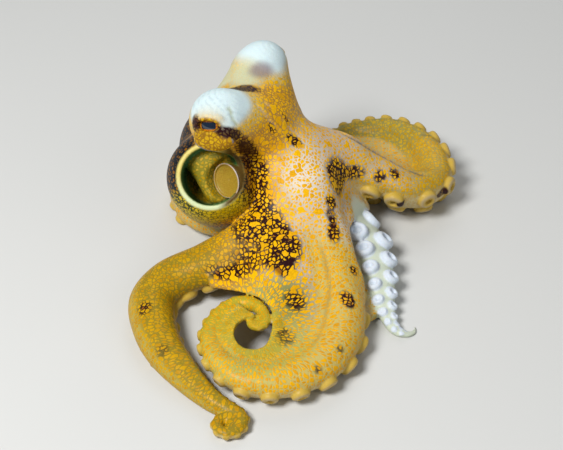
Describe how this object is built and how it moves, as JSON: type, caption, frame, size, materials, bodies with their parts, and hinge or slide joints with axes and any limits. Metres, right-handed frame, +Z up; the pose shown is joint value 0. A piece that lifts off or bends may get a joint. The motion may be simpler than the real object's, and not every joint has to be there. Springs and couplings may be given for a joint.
{
  "type": "octopus",
  "caption": "Life-size still model of a small common octopus at rest, ochre and maroon cells over a pale net, front arm rolled in a spiral.",
  "frame": {"origin": "middle of the bounding box of the whole animal, at the level of the floor it rests on", "axes": "+X to the right and +Y away in the main view, +Z up; the spiral arm lies towards -Y, the mantle and the hidden arms towards +Y"},
  "size_m": [0.126, 0.1904, 0.0717],
  "materials": {
    "skin": "wet living skin: ochre-yellow cells of several sizes over a pale lilac net, with maroon patches",
    "belly_skin": "pale translucent underside with pearl-white suckers",
    "funnel_skin": "smooth gold-green skin",
    "eye": "wet glossy dark eye with a rounded slit pupil in an orange ring"
  },
  "bodies": {
    "root": {"head": "skin", "eye_right": "eye", "eye_left": "eye", "crown_web": "skin", "loop_web": "skin", "funnel": "funnel_skin", "mantle": "skin", "arm_right_1_length_1": "skin", "arm_right_1_length_2": "skin", "arm_right_1_length_3": "skin", "arm_right_1_length_4": "skin", "arm_right_1_length_5": "skin", "arm_right_1_length_6": "skin", "arm_right_2_length_1": "skin", "arm_right_2_length_2": "skin", "arm_right_2_length_3": "skin", "arm_right_2_length_4": "skin", "arm_right_3_length_1": "skin", "arm_right_3_length_2": "skin", "arm_right_3_length_3": "skin", "arm_right_4_length_1": "skin", "arm_right_4_length_2": "skin", "arm_left_1_length_1": "skin", "arm_left_1_length_2": "skin", "arm_left_1_length_3": "skin", "arm_left_1_length_4": "skin", "arm_left_1_length_5": "skin", "arm_left_2_length_1": "belly_skin", "arm_left_2_length_2": "belly_skin", "arm_left_3_length_1": "skin", "arm_left_3_length_2": "skin", "arm_left_4_length_1": "skin", "arm_left_4_length_2": "skin"}
  },
  "joints": []
}
